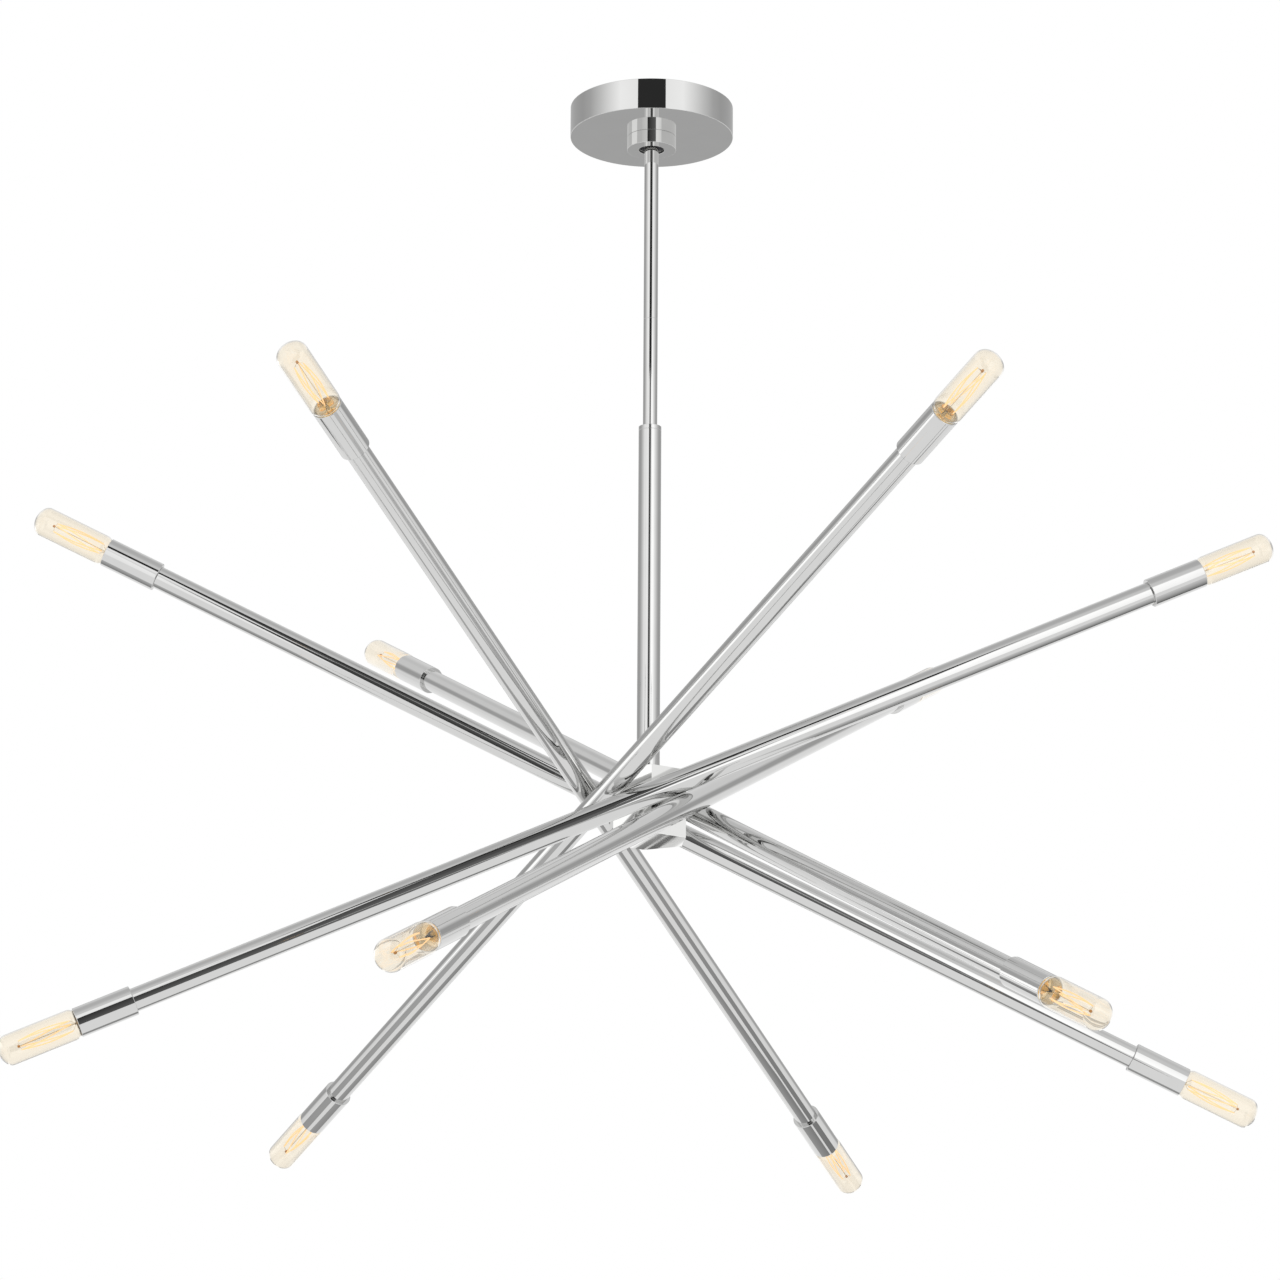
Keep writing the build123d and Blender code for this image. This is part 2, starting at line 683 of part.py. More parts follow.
lamp_base_start = contact_face + lamp_tip_length
plate_top = lamp_base_start + lamp_plate_gauge
plate_radius = lamp_base_dia / 2 - lamp_base_wall - base_clearance
stem_start = plate_top + base_clearance
for place in ends:
    with BuildPart() as bulb:
        # glass envelope, open at the neck
        with BuildSketch(end_section(place)):
            glass_face(0)
        revolve(axis=end_axis(place))
        with BuildSketch(end_section(place)):
            glass_face(lamp_glass_wall)
        revolve(axis=end_axis(place), mode=Mode.SUBTRACT)
        # brass base shell round the neck
        add_disc(
            place,
            lamp_base_start,
            lamp_base_dia,
            lamp_base_length,
            lamp_base_dia - 2 * lamp_base_wall,
        )
        # insulator with the centre contact
        with BuildSketch(end_section(place)):
            with BuildLine():
                Polyline(
                    (0, contact_face),
                    (lamp_tip_dia / 2, contact_face),
                    (lamp_tip_root_dia / 2, lamp_base_start),
                    (plate_radius, lamp_base_start),
                    (plate_radius, plate_top),
                    (0, plate_top),
                    close=True,
                )
            make_face()
        revolve(axis=end_axis(place))
        # glass stem that carries the centre rod
        with BuildSketch(end_section(place)):
            with BuildLine():
                Polyline(
                    (0, stem_start),
                    (stem_press_dia / 2, stem_start),
                    (stem_press_dia / 2, stem_start + stem_press_height),
                    (stem_rod_dia / 2, stem_start + stem_press_height + stem_press_dia),
                    (stem_rod_dia / 2, cup_mouth + stem_rod_reach),
                    (0, cup_mouth + stem_rod_reach),
                    close=True,
                )
            make_face()
        revolve(axis=end_axis(place))
    name = f"bulb_{place[0] + 1}_{end_names[place[1]]}"
    bulb.part.label = name
    export_step(bulb.part, f"parts/{name}.step")
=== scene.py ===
import bpy
import bmesh
import json
import math
from mathutils import Matrix, Vector


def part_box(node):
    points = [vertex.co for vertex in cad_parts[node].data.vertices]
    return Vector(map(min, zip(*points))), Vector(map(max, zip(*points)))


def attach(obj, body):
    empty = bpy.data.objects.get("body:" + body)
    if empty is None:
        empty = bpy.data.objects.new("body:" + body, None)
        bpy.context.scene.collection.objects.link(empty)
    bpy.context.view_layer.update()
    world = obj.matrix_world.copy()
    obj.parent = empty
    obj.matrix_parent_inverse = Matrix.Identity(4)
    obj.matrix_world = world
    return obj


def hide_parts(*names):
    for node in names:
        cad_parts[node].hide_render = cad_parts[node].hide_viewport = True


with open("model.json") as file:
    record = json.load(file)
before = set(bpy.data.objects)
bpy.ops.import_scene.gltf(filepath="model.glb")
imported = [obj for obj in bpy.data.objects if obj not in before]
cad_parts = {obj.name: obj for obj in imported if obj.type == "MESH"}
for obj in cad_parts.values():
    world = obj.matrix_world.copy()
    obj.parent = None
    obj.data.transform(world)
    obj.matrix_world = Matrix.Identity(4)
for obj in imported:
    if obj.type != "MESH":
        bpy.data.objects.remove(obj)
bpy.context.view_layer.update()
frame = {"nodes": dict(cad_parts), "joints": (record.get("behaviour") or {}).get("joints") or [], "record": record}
joints = {joint["name"]: joint for joint in frame["joints"]}
mm = 0.001
armNumbers = range(1, 7)
endNames = ("upper", "lower")
fixedBody = "ceiling_mount"
hangingBody = "chandelier"
print("frame loaded,", len(frame["nodes"]), "nodes")


# shared shader effects

def newGroup(name, inputs, outputs):
    group = bpy.data.node_groups.new(name, "ShaderNodeTree")
    for socketName, kind, value in inputs:
        socket = group.interface.new_socket(socketName, in_out="INPUT", socket_type=kind)
        if value is not None:
            socket.default_value = value
    for socketName, kind in outputs:
        group.interface.new_socket(socketName, in_out="OUTPUT", socket_type=kind)
    nodes = group.nodes
    return group, nodes.new("NodeGroupInput"), nodes.new("NodeGroupOutput")


def makeHandlingGroup():
    # faint smears left by cleaning: they only change how sharp the shine is
    group, inputs, outputs = newGroup(
        "handlingSmears",
        [("Scale", "NodeSocketFloat", 20.0), ("Low", "NodeSocketFloat", 0.03),
         ("High", "NodeSocketFloat", 0.08)],
        [("Roughness", "NodeSocketFloat"), ("Mask", "NodeSocketFloat")],
    )
    nodes, links = group.nodes, group.links
    place = nodes.new("ShaderNodeTexCoord")
    noise = nodes.new("ShaderNodeTexNoise")
    noise.inputs["Detail"].default_value = 4
    noise.inputs["Distortion"].default_value = 0.6
    levels = nodes.new("ShaderNodeMapRange")
    links.new(place.outputs["Object"], noise.inputs["Vector"])
    links.new(inputs.outputs["Scale"], noise.inputs["Scale"])
    links.new(noise.outputs["Fac"], levels.inputs["Value"])
    levels.inputs["From Min"].default_value = 0.35
    levels.inputs["From Max"].default_value = 0.7
    links.new(inputs.outputs["Low"], levels.inputs["To Min"])
    links.new(inputs.outputs["High"], levels.inputs["To Max"])
    links.new(levels.outputs["Result"], outputs.inputs["Roughness"])
    links.new(noise.outputs["Fac"], outputs.inputs["Mask"])
    return group


def makeMottleGroup():
    # two close tones over the surface and a fine grain for the bump
    group, inputs, outputs = newGroup(
        "mottledTone",
        [("First", "NodeSocketColor", None), ("Second", "NodeSocketColor", None),
         ("Scale", "NodeSocketFloat", 60.0), ("Grain Scale", "NodeSocketFloat", 900.0)],
        [("Color", "NodeSocketColor"), ("Grain", "NodeSocketFloat")],
    )
    nodes, links = group.nodes, group.links
    place = nodes.new("ShaderNodeTexCoord")
    noise = nodes.new("ShaderNodeTexNoise")
    noise.inputs["Detail"].default_value = 5
    grain = nodes.new("ShaderNodeTexNoise")
    grain.inputs["Detail"].default_value = 2
    mix = nodes.new("ShaderNodeMix")
    mix.data_type = "RGBA"
    links.new(place.outputs["Object"], noise.inputs["Vector"])
    links.new(place.outputs["Object"], grain.inputs["Vector"])
    links.new(inputs.outputs["Scale"], noise.inputs["Scale"])
    links.new(inputs.outputs["Grain Scale"], grain.inputs["Scale"])
    links.new(noise.outputs["Fac"], mix.inputs["Factor"])
    links.new(inputs.outputs["First"], mix.inputs["A"])
    links.new(inputs.outputs["Second"], mix.inputs["B"])
    links.new(mix.outputs["Result"], outputs.inputs["Color"])
    links.new(grain.outputs["Fac"], outputs.inputs["Grain"])
    return group


handlingGroup = makeHandlingGroup()
mottleGroup = makeMottleGroup()


def newMaterial(name):
    material = bpy.data.materials.new(name)
    material.use_nodes = True
    shader = material.node_tree.nodes["Principled BSDF"]
    return material, material.node_tree.nodes, material.node_tree.links, shader


def addGroup(nodes, group, **values):
    node = nodes.new("ShaderNodeGroup")
    node.node_tree = group
    for name, value in values.items():
        node.inputs[name.replace("_", " ")].default_value = value
    return node


def setGlow(shader, glow):
    # stands for the light of a burning lamp that reaches a piece close to it
    shader.inputs["Emission Color"].default_value = (*glow, 1)
    shader.inputs["Emission Strength"].default_value = 1 if any(glow) else 0


def makeMetal(name, first, second, low, high, scale=20.0, toneScale=40.0, grain=0.0, glow=(0, 0, 0)):
    material, nodes, links, shader = newMaterial(name)
    setGlow(shader, glow)
    shader.inputs["Metallic"].default_value = 1
    tone = addGroup(nodes, mottleGroup, First=(*first, 1), Second=(*second, 1), Scale=toneScale)
    smears = addGroup(nodes, handlingGroup, Scale=scale, Low=low, High=high)
    links.new(tone.outputs["Color"], shader.inputs["Base Color"])
    links.new(smears.outputs["Roughness"], shader.inputs["Roughness"])
    if grain:
        bump = nodes.new("ShaderNodeBump")
        bump.inputs["Strength"].default_value = grain
        bump.inputs["Distance"].default_value = 0.0001
        links.new(tone.outputs["Grain"], bump.inputs["Height"])
        links.new(bump.outputs["Normal"], shader.inputs["Normal"])
    return material


def makePlain(name, first, second, low, high, grain=0.2, coat=0.0, glow=(0, 0, 0)):
    material, nodes, links, shader = newMaterial(name)
    setGlow(shader, glow)
    tone = addGroup(nodes, mottleGroup, First=(*first, 1), Second=(*second, 1))
    smears = addGroup(nodes, handlingGroup, Scale=35.0, Low=low, High=high)
    bump = nodes.new("ShaderNodeBump")
    bump.inputs["Strength"].default_value = grain
    bump.inputs["Distance"].default_value = 0.0001
    shader.inputs["Coat Weight"].default_value = coat
    links.new(tone.outputs["Color"], shader.inputs["Base Color"])
    links.new(smears.outputs["Roughness"], shader.inputs["Roughness"])
    links.new(tone.outputs["Grain"], bump.inputs["Height"])
    links.new(bump.outputs["Normal"], shader.inputs["Normal"])
    return material


def makeLampGlass():
    # the tint varies a little from place to place, as blown glass does
    material, nodes, links, shader = newMaterial("lampGlass")
    tone = addGroup(
        nodes, mottleGroup, First=(0.95, 0.905, 0.82, 1), Second=(0.975, 0.935, 0.86, 1), Scale=30.0,
    )
    shader.inputs["Roughness"].default_value = 0
    shader.inputs["Transmission Weight"].default_value = 1
    shader.inputs["IOR"].default_value = 1.45
    links.new(tone.outputs["Color"], shader.inputs["Base Color"])
    return material


def makeGlow(name, first, second, edge, strength, surface):
    # hot in the middle of the wire and redder towards its edges
    material, nodes, links, shader = newMaterial(name)
    tone = addGroup(nodes, mottleGroup, First=(*first, 1), Second=(*second, 1), Scale=300.0)
    facing = nodes.new("ShaderNodeLayerWeight")
    facing.inputs["Blend"].default_value = 0.35
    mix = nodes.new("ShaderNodeMix")
    mix.data_type = "RGBA"
    mix.inputs["B"].default_value = (*edge, 1)
    links.new(facing.outputs["Facing"], mix.inputs["Factor"])
    links.new(tone.outputs["Color"], mix.inputs["A"])
    links.new(mix.outputs["Result"], shader.inputs["Emission Color"])
    shader.inputs["Base Color"].default_value = (*surface, 1)
    shader.inputs["Roughness"].default_value = 0.5
    shader.inputs["Emission Strength"].default_value = strength
    return material


finishes = {
    "polishedNickel": makeMetal("polishedNickel", (0.60, 0.60, 0.595), (0.64, 0.64, 0.635), 0.01, 0.035),
    # a lighter copy of the polished nickel for the hub block: the extra brightness is painted light
    "hubNickelPaintedBright": makeMetal("hubNickelPaintedBright", (0.84, 0.84, 0.83), (0.88, 0.88, 0.87), 0.03, 0.08),
    "zincSteel": makeMetal("zincSteel", (0.52, 0.53, 0.53), (0.66, 0.66, 0.64), 0.3, 0.45, grain=0.3),
    "rawBrass": makeMetal(
        "rawBrass", (0.80, 0.58, 0.24), (0.88, 0.68, 0.34), 0.2, 0.35, grain=0.2, glow=(0.38, 0.25, 0.08),
    ),
    "blackSteel": makeMetal("blackSteel", (0.035, 0.035, 0.04), (0.07, 0.07, 0.075), 0.25, 0.4, grain=0.2),
    "nylon": makePlain("nylon", (0.80, 0.80, 0.76), (0.86, 0.86, 0.83), 0.4, 0.55),
    "socketIvory": makePlain(
        "socketIvory", (0.78, 0.74, 0.63), (0.86, 0.82, 0.72), 0.25, 0.4, coat=0.2, glow=(0.50, 0.40, 0.24),
    ),
    "baseInsulator": makePlain("baseInsulator", (0.012, 0.012, 0.012), (0.03, 0.03, 0.03), 0.2, 0.35),
    "groundGreen": makePlain("groundGreen", (0.03, 0.22, 0.06), (0.06, 0.3, 0.1), 0.35, 0.5),
    "lampGlass": makeLampGlass(),
    "filament": makeGlow(
        "filament", (1.0, 0.71, 0.38), (1.0, 0.6745, 0.323), (1.0, 0.55, 0.22), 1.02, (0.3, 0.2, 0.1),
    ),
    "filamentBead": makePlain("filamentBead", (0.55, 0.24, 0.06), (0.7, 0.34, 0.1), 0.3, 0.4),
    "supportWire": makeMetal("supportWire", (0.70, 0.60, 0.42), (0.8, 0.7, 0.5), 0.2, 0.35),
}
slotFinish = {
    "polished_nickel": "polishedNickel",
    "zinc_steel": "zincSteel",
    "raw_brass": "rawBrass",
    "nylon": "nylon",
    "socket_ivory": "socketIvory",
    "black_steel": "blackSteel",
    "ground_green": "groundGreen",
    "clear_glass": "lampGlass",
}
nodeFinish = {"hub_body": "hubNickelPaintedBright", "hub_lid": "hubNickelPaintedBright"}        # the block gets a brighter copy of the same nickel: painted light for how brightly it shines
nodeSlot = {part["node"]: part["material_slot"] for part in frame["record"]["subparts"]}
for nodeName, piece in frame["nodes"].items():
    piece.data.materials.clear()
    piece.data.materials.append(finishes[nodeFinish.get(nodeName, slotFinish[nodeSlot[nodeName]])])
print("finishes made,", len(finishes))


# turned pieces: a half section spun about an axis

def smoothMesh(mesh, smoothAngle):
    # where a large face meets the small ones of a rounded edge, the large one keeps its own direction
    mesh.shade_smooth()
    around = [[] for vert in mesh.vertices]
    for face in mesh.polygons:
        for corner in face.vertices:
            around[corner].append((face.normal.copy(), face.area))
    limit = math.cos(math.radians(smoothAngle))
    normals = []
    for face in mesh.polygons:
        for corner in face.vertices:
            near = [normal * area for normal, area in around[corner] if normal.dot(face.normal) > limit]
            normals.append(sum(near, Vector()).normalized())
    mesh.normals_split_custom_set(normals)


def finishPiece(name, form, finish, smoothAngle=35):
    mesh = bpy.data.meshes.new(name)
    form.to_mesh(mesh)
    form.free()
    smoothMesh(mesh, smoothAngle)
    mesh.materials.append(finishes[finish])
    piece = bpy.data.objects.new(name, mesh)
    bpy.context.scene.collection.objects.link(piece)
    return piece


def addTurned(form, outline, place, steps=96, rounding=0.0, roundSteps=3, closed=True):
    # outline is a list of (radius, distance along the axis) in millimetres
    section = bmesh.new()
    corners = [section.verts.new((radius * mm, 0, along * mm)) for radius, along in outline]
    for first, second in zip(corners, corners[1:] + corners[:1] if closed else corners[1:]):
        section.edges.new((first, second))
    if rounding:
        bmesh.ops.bevel(
            section, geom=corners, affect="VERTICES", offset=rounding * mm,
            segments=roundSteps, profile=0.5, material=-1,
        )
    bmesh.ops.spin(
        section, geom=section.verts[:] + section.edges[:], axis=(0, 0, 1), cent=(0, 0, 0),
        angle=math.tau, steps=steps, use_merge=True,
    )
    bmesh.ops.remove_doubles(section, verts=section.verts, dist=mm * 0.0005)
    bmesh.ops.recalc_face_normals(section, faces=section.faces)
    bmesh.ops.transform(section, matrix=place, verts=section.verts)
    carry = bpy.data.meshes.new("carry")
    section.to_mesh(carry)
    form.from_mesh(carry)
    bpy.data.meshes.remove(carry)
    section.free()


def addWire(form, points, thickness, sides=8):
    # a round wire through the points, made by sweeping a circle from joint to joint
    rings = []
    for number, point in enumerate(points):
        before = points[max(number - 1, 0)]
        after = points[min(number + 1, len(points) - 1)]
        heading = (after - before).normalized()
        turn = heading.to_track_quat("Z", "Y").to_matrix().to_4x4()
        ring = bmesh.ops.create_circle(
            form, segments=sides, radius=thickness * mm / 2, cap_ends=False,
            matrix=Matrix.Translation(point) @ turn,
        )["verts"]
        rings.append(ring)
    for first, second in zip(rings, rings[1:]):
        edges = {edge for vert in first + second for edge in vert.link_edges}
        loops = [edge for edge in edges if set(edge.verts) <= set(first) or set(edge.verts) <= set(second)]
        bmesh.ops.bridge_loops(form, edges=loops)
    for ring in (rings[0], rings[-1]):
        bmesh.ops.contextual_create(form, geom=ring)


def turnedForm(outline, place, **options):
    form = bmesh.new()
    addTurned(form, outline, place, **options)
    return form


def turnedPiece(name, outline, place, finish, body, node, **options):
    piece = finishPiece(name, turnedForm(outline, place, **options), finish)
    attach(piece, body)
    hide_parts(node)
    return piece


def heightsOf(node):
    low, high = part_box(node)
    return low.z / mm, high.z / mm


# canopy, collar and stem
canopy = {"radius": 69.5, "wall": 1.2, "hole": 17.0, "edge": 0.35, "steps": 256}
collar = {"radius": 20.85, "hole": 10.85, "bore": 17.0, "lip": 2.0, "edge": 0.25, "steps": 192}
stem = {"radius": 6.0, "bore": 4.8, "edge": 0.15, "steps": 96}
sleeve = {"radius": 9.525, "bore": 8.325, "edge": 0.2, "capRing": 3.6, "stemDepth": 12.0, "steps": 128}
upright = Matrix.Identity(4)

canopyLow, canopyHigh = heightsOf("canopy")
turnedPiece(
    "canopyShell",
    [
        (canopy["radius"], canopyHigh), (canopy["radius"], canopyLow), (canopy["hole"], canopyLow),
        (canopy["hole"], canopyLow + canopy["wall"]),
        (canopy["radius"] - canopy["wall"], canopyLow + canopy["wall"]),
        (canopy["radius"] - canopy["wall"], canopyHigh),
    ],
    upright, "polishedNickel", fixedBody, "canopy", steps=canopy["steps"], rounding=canopy["edge"],
)
collarLow, collarHigh = heightsOf("canopy_collar")
turnedPiece(
    "collarRing",
    [
        (collar["radius"], collarHigh), (collar["radius"], collarLow), (collar["hole"], collarLow),
        (collar["hole"], collarLow + collar["lip"]), (collar["bore"], collarLow + collar["lip"]),
        (collar["bore"], collarHigh),
    ],
    upright, "polishedNickel", fixedBody, "canopy_collar", steps=collar["steps"], rounding=collar["edge"],
)
for node in ("upper_stem", "lower_stem"):
    low, high = heightsOf(node)
    turnedPiece(
        node + "Tube",
        [(stem["radius"], high), (stem["radius"], low), (stem["bore"], low), (stem["bore"], high)],
        upright, "polishedNickel", hangingBody, node, steps=stem["steps"], rounding=stem["edge"],
    )
low, high = heightsOf("sleeve_cap")
turnedPiece(
    "sleeveCapRing",
    [
        (sleeve["radius"], high), (sleeve["radius"], high - sleeve["capRing"]),
        (sleeve["bore"], high - sleeve["capRing"]), (sleeve["bore"], low), (stem["bore"], low),
        (stem["bore"], high - sleeve["stemDepth"]), (stem["radius"], high - sleeve["stemDepth"]),
        (stem["radius"], high),
    ],
    upright, "polishedNickel", hangingBody, "sleeve_cap", steps=sleeve["steps"], rounding=sleeve["edge"],
)
low, high = heightsOf("stem_sleeve")
turnedPiece(
    "sleeveTube",
    [(sleeve["radius"], high), (sleeve["radius"], low), (sleeve["bore"], low), (sleeve["bore"], high)],
    upright, "polishedNickel", hangingBody, "stem_sleeve", steps=sleeve["steps"], rounding=sleeve["edge"],
)
print("canopy and stem turned")


# tubes and cups: the joints of the lamps give the line of each tube
tube = {"radius": 9.525, "bore": 8.325, "edge": 0.2, "steps": 96}
cup = {"radius": 12.1, "wall": 1.0, "base": 1.5, "hole": 5.0, "length": 47.8, "edge": 0.45, "steps": 96}
tubePlaces = {}
for number in armNumbers:
    upper, lower = (Vector(joints[f"bulb_{number}_{end}_turn"]["pos_m"]) for end in endNames)
    middle = (upper + lower) / 2
    along = (upper - lower).normalized()
    outward = Vector((middle.x, middle.y, 0)).normalized()
    across = along.cross(outward)
    turn = Matrix((outward, across, along)).transposed().to_4x4()
    flip = Matrix((outward, -across, -along)).transposed().to_4x4()
    shift = Matrix.Translation(middle)
    mouth = (upper - lower).length / 2 / mm
    tubePlaces[number] = {"upper": shift @ turn, "lower": shift @ flip, "mouth": mouth}

for number, places in tubePlaces.items():
    mouth = places["mouth"]
    half = mouth - cup["length"]
    turnedPiece(
        f"tube{number}",
        [(tube["radius"], half), (tube["radius"], -half), (tube["bore"], -half), (tube["bore"], half)],
        places["upper"], "polishedNickel", hangingBody, f"arm_{number}",
        steps=tube["steps"], rounding=tube["edge"],
    )
    inner = cup["radius"] - cup["wall"]
    for end in endNames:
        turnedPiece(
            f"cup{number}{end.capitalize()}",
            [
                (cup["hole"], half), (cup["radius"], half), (cup["radius"], mouth), (inner, mouth),
                (inner, half + cup["base"]), (cup["hole"], half + cup["base"]),
            ],
            places[end], "polishedNickel", hangingBody, f"cup_{number}_{end}",
            steps=cup["steps"], rounding=cup["edge"],
        )
print("tubes and cups turned")


# lamps: each is a group of pieces that turn together; heights are above the mouth of the cup
lamp = {
    "radius": 12.7, "wall": 0.7, "reach": 66.0, "shoulder": 7.7, "shoulderLift": 5.3, "neck": 5.4,
    "neckDepth": 15.1, "corner": 7.5, "dome": 16.0, "arcSteps": 8, "steps": 64,
}
lampBase = {
    "radius": 5.95, "length": 17.5, "wall": 0.5, "depth": 26.6, "pitch": 2.5, "threadDepth": 0.35,
    "crestLift": 0.7, "rootDrop": 0.4, "steps": 48,
}
lampTip = {"length": 3.5, "radius": 2.0, "rootRadius": 4.5, "plate": 2.4, "steps": 32}
lampStem = {"radius": 2.5, "foot": 2.5, "shoulder": -6.0, "top": 2.0, "topRadius": 0.8, "steps": 24}
rod = {"radius": 0.35, "steps": 12}
bead = {"radius": 1.1, "low": 48.2, "high": 50.6, "lowSlope": 0.3, "highSlope": 0.5, "steps": 16}
cage = {
    "strands": 6, "steps": 8, "lowRadius": 5.0, "low": 5.0, "highRadius": 4.3, "high": 48.0,
    "bow": 1.3, "wire": 1.0, "support": 0.35, "hookRise": 0.8, "rootDepth": 1.0, "rootRadius": 0.625,
    "sides": 6,
}


def arcPoints(centre, radius, start, stop):
    # angles in degrees, from straight out (0) to straight along the axis (90)
    steps = lamp["arcSteps"]
    angles = [math.radians(start + (stop - start) * step / steps) for step in range(steps + 1)]
    return [
        (centre[0] + radius * math.cos(angle), centre[1] + radius * math.sin(angle)) for angle in angles
    ]


def glassOutline(inset):
    # neck, round shoulder, straight wall, round corner and flat dome, from the open end to the axis
    neck = lamp["neck"] - inset
    turn = lamp["shoulder"] - inset
    centre = lamp["radius"] - lamp["shoulder"]
    slant = turn * math.sqrt(0.5)
    neckTop = lamp["shoulderLift"] - slant - (centre + slant - neck)
    cornerX = lamp["radius"] - lamp["corner"]
    domeY = lamp["reach"] - lamp["dome"]
    swing = lamp["dome"] - lamp["corner"]
    domeAngle = math.degrees(math.acos(cornerX / swing))
    cornerY = domeY + math.sqrt(swing ** 2 - cornerX ** 2)
    points = [(neck, -lamp["neckDepth"]), (neck, neckTop)]
    points += arcPoints((centre, lamp["shoulderLift"]), turn, -45, 0)
    points += arcPoints((cornerX, cornerY), lamp["corner"] - inset, 0, domeAngle)
    points += arcPoints((0, domeY), lamp["dome"] - inset, domeAngle, 90)[1:]
    points[-1] = (0, points[-1][1])
    return points


def baseOutline(low):
    # a thin shell whose outside waves where the thread runs
    inner = lampBase["radius"] - lampBase["wall"]
    root = lampBase["radius"] - lampBase["threadDepth"]
    top = low + lampBase["length"]
    points = [(inner, low), (inner, top)]
    for ridge in range(int(lampBase["length"] / lampBase["pitch"])):
        middle = top - (ridge + 0.5) * lampBase["pitch"]
        points += [
            (lampBase["radius"], middle + lampBase["crestLift"]), (root, middle - lampBase["rootDrop"]),
        ]
    return points + [(root, low)]


def tipOutline(low):
    inner = lampBase["radius"] - lampBase["wall"]
    return [
        (0, low - lampTip["length"]), (lampTip["radius"], low - lampTip["length"]),
        (lampTip["rootRadius"], low), (inner, low), (inner, low + lampTip["plate"]),
        (0, low + lampTip["plate"]),
    ]


def stemOutline(low):
    foot = low + lampStem["foot"]
    shoulder = low + lampBase["depth"] + lampStem["shoulder"]
    top = low + lampBase["depth"] + lampStem["top"]
    return [
        (0, foot), (lampStem["radius"], foot), (lampStem["radius"], shoulder),
        (lampStem["topRadius"], top), (0, top),
    ]


def rodOutline():
    low, high = lampStem["top"], bead["low"]
    return [(0, low), (rod["radius"], low), (rod["radius"], high), (0, high)]


def beadOutline():
    return [
        (0, bead["low"]), (bead["radius"], bead["low"] + bead["lowSlope"]),
        (bead["radius"], bead["high"] - bead["highSlope"]), (0, bead["high"]),
    ]


def shifted(points, distance):
    return [(radius, along + distance) for radius, along in points]


def cagePoint(place, mouth, radius, angle, height):
    point = Vector((radius * mm * math.cos(angle), radius * mm * math.sin(angle), (mouth + height) * mm))
    return place @ point


def addFilament(form, place, mouth):
    # the wire runs up and down between low and high hooks, and each run bows outwards
    points = []
    for strand in range(cage["strands"]):
        rising = strand % 2 == 0
        for step in range(cage["steps"] + (strand == cage["strands"] - 1)):
            part = step / cage["steps"]
            up = part if rising else 1 - part
            radius = cage["lowRadius"] + (cage["highRadius"] - cage["lowRadius"]) * up
            radius += cage["bow"] * math.sin(math.pi * up)
            angle = math.tau * (strand + part) / cage["strands"]
            height = cage["low"] + (cage["high"] - cage["low"]) * up
            points.append(cagePoint(place, mouth, radius, angle, height))
    addWire(form, points, cage["wire"], sides=cage["sides"])


def addSupports(form, place, mouth):
    # thin spokes from the glass stem to the low hooks and from the rod to the high hooks
    for strand in range(cage["strands"]):
        angle = math.tau * strand / cage["strands"]
        if strand % 2 == 1:
            root = cagePoint(place, mouth, rod["radius"], angle, cage["high"] + cage["hookRise"])
            hook = cagePoint(place, mouth, cage["highRadius"], angle, cage["high"])
        else:
            root = cagePoint(place, mouth, cage["rootRadius"], angle, lampStem["top"] - cage["rootDepth"])
            hook = cagePoint(place, mouth, cage["lowRadius"], angle, cage["low"])
        addWire(form, [root, hook], cage["support"], sides=cage["sides"])


def addLampPiece(name, form, finish, body):
    piece = finishPiece(name, form, finish, smoothAngle=60)
    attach(piece, body)
    return piece


for number, places in tubePlaces.items():
    for end in endNames:
        place, mouth = places[end], places["mouth"]
        low = mouth - lampBase["depth"]
        body = node = f"bulb_{number}_{end}"
        label = f"{number}{end.capitalize()}"

        walls = shifted(glassOutline(0)[::-1] + glassOutline(lamp["wall"]), mouth)
        form = turnedForm(walls, place, steps=lamp["steps"], closed=False)
        glass = addLampPiece("lampGlass" + label, form, "lampGlass", body)
        glass.visible_shadow = glass.visible_diffuse = glass.visible_glossy = False
        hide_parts(node)

        form = turnedForm(baseOutline(low), place, steps=lampBase["steps"])
        addLampPiece("lampBase" + label, form, "rawBrass", body)

        form = turnedForm(tipOutline(low), place, steps=lampTip["steps"], closed=False)
        addLampPiece("lampContact" + label, form, "baseInsulator", body)

        form = turnedForm(stemOutline(low), place, steps=lampStem["steps"], closed=False)
        addLampPiece("lampStem" + label, form, "lampGlass", body)

        form = turnedForm(shifted(rodOutline(), mouth), place, steps=rod["steps"], closed=False)
        addSupports(form, place, mouth)
        addLampPiece("lampSupports" + label, form, "supportWire", body)

        form = turnedForm(shifted(beadOutline(), mouth), place, steps=bead["steps"], closed=False)
        addLampPiece("lampBead" + label, form, "filamentBead", body)

        form = bmesh.new()
        addFilament(form, place, mouth)
        addLampPiece("lampFilament" + label, form, "filament", body)
print("lamps made")


# room: pale floor, white background, soft lights and the cards that the metal mirrors
room = {
    "floorHeight": -2.44, "floorSize": 30.0, "floorColor": (0.78, 0.78, 0.78),
    "floorShine": 1.05, "floorPale": 0.85, "skyDiffuse": 0.55,
    # how bright the room is in the metal, by the sine of the height above the horizon
    "skyShine": [(-1.0, 0.95), (0.1, 1.0), (0.3, 0.9), (0.8, 0.86), (0.92, 0.66), (1.0, 0.62)],
    # the same by the turn away from the camera, where 1 is straight behind, and the heights that use it
    "sideShine": [
        (0.0, 1.2), (0.25, 1.3), (0.34, 1.05), (0.43, 0.8), (0.54, 0.55), (0.64, 0.47), (1.0, 0.55),
    ],
    "sideShare": [(-1.0, 0.0), (0.1, 0.0), (0.24, 1.0), (0.45, 1.0), (0.6, 0.0), (1.0, 0.0)],
}
